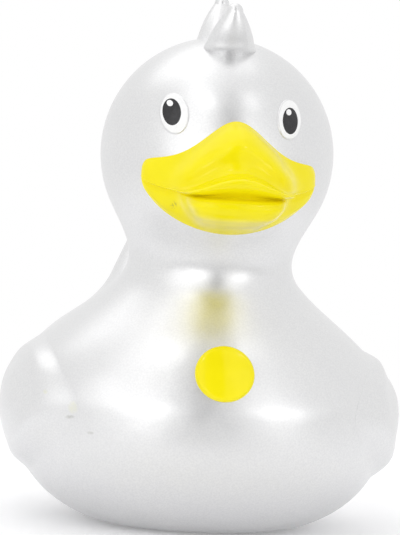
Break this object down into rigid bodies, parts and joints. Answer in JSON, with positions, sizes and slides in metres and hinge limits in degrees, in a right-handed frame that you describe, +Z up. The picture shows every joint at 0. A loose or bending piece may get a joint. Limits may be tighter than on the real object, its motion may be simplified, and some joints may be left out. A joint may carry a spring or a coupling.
{
  "type": "rubber duck",
  "caption": "Silver-painted vinyl bath duck with a glossy yellow bill, two-lock crest, folded wings and a plain raised chest button.",
  "frame": {"origin": "middle of the bounding box's bottom, on the surface the duck stands on", "axes": "+Z up, -Y the way the duck looks, +X to the duck's left"},
  "size_m": [0.083, 0.0872, 0.1088],
  "materials": {
    "silver_paint": "satin pearl-silver spray paint over soft vinyl",
    "yellow_paint": "glossy yellow paint on the bill and the chest button",
    "white_print": "glossy white print of the eyes",
    "black_print": "glossy black print of the pupils"
  },
  "bodies": {
    "root": {"duck_moulding": "silver_paint"}
  },
  "joints": []
}
